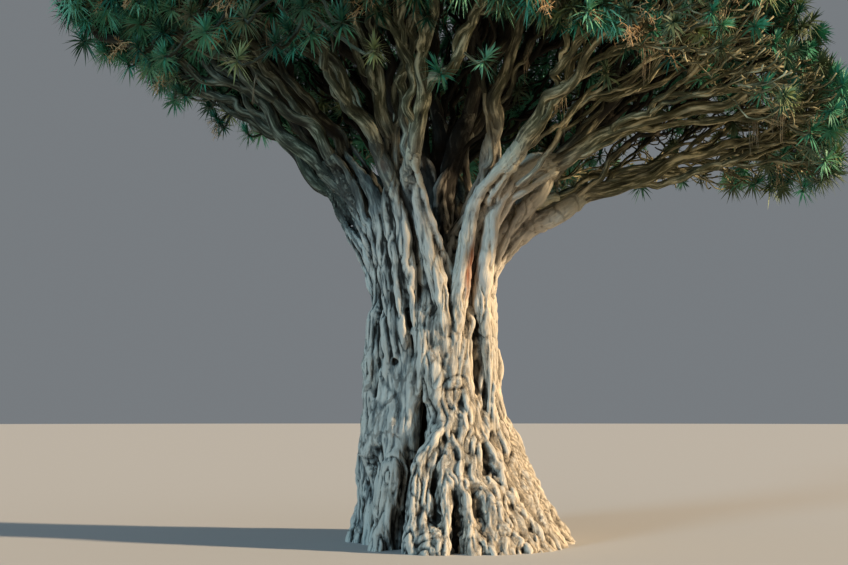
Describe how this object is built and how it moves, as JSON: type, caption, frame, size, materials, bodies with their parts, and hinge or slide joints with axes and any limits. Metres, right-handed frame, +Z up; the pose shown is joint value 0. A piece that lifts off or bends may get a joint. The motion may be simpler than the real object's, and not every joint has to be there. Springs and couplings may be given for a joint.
{
  "type": "dragon blood tree",
  "caption": "Very old dragon blood tree with a stout fluted trunk on a spreading foot, stems packed side by side, fanning boughs and a wide domed crown of leaf masses.",
  "frame": {"origin": "on the level cut under the trunk, at the trunk's axis at its waist", "axes": "+Z up the trunk, +X towards the side where the crown hangs lowest, -Y towards the front, which the picture shows"},
  "size_m": [21.4077, 19.8524, 16.9882],
  "materials": {
    "trunk_bark": "rough weathered bark, grey with cream edges",
    "limb_bark": "rough matt bark, dull olive grey",
    "foliage": "satin blue-green leaves"
  },
  "bodies": {
    "root": {"trunk": "trunk_bark", "stem_right": "trunk_bark", "stem_back_right": "trunk_bark", "stem_back": "trunk_bark", "stem_back_left": "trunk_bark", "stem_left": "trunk_bark", "stem_front_left": "trunk_bark", "stem_front_right": "trunk_bark", "stem_core": "trunk_bark", "bough_rim_000": "limb_bark", "bough_rim_030": "limb_bark", "bough_rim_060": "limb_bark", "bough_rim_090": "limb_bark", "bough_rim_120": "limb_bark", "bough_rim_150": "limb_bark", "bough_rim_180": "limb_bark", "bough_rim_210": "limb_bark", "bough_rim_240": "limb_bark", "bough_rim_270": "limb_bark", "bough_rim_300": "limb_bark", "bough_rim_330": "limb_bark", "bough_shoulder_023": "limb_bark", "bough_shoulder_068": "limb_bark", "bough_shoulder_113": "limb_bark", "bough_shoulder_158": "limb_bark", "bough_shoulder_203": "limb_bark", "bough_shoulder_248": "limb_bark", "bough_shoulder_293": "limb_bark", "bough_shoulder_338": "limb_bark", "bough_upper_045": "limb_bark", "bough_upper_135": "limb_bark", "bough_upper_225": "limb_bark", "bough_upper_315": "limb_bark", "bough_top": "limb_bark", "mass_rim_000": "foliage", "mass_rim_030": "foliage", "mass_rim_060": "foliage", "mass_rim_090": "foliage", "mass_rim_120": "foliage", "mass_rim_150": "foliage", "mass_rim_180": "foliage", "mass_rim_210": "foliage", "mass_rim_240": "foliage", "mass_rim_270": "foliage", "mass_rim_300": "foliage", "mass_rim_330": "foliage", "mass_shoulder_023": "foliage", "mass_shoulder_068": "foliage", "mass_shoulder_113": "foliage", "mass_shoulder_158": "foliage", "mass_shoulder_203": "foliage", "mass_shoulder_248": "foliage", "mass_shoulder_293": "foliage", "mass_shoulder_338": "foliage", "mass_upper_045": "foliage", "mass_upper_135": "foliage", "mass_upper_225": "foliage", "mass_upper_315": "foliage", "mass_top": "foliage"}
  },
  "joints": []
}
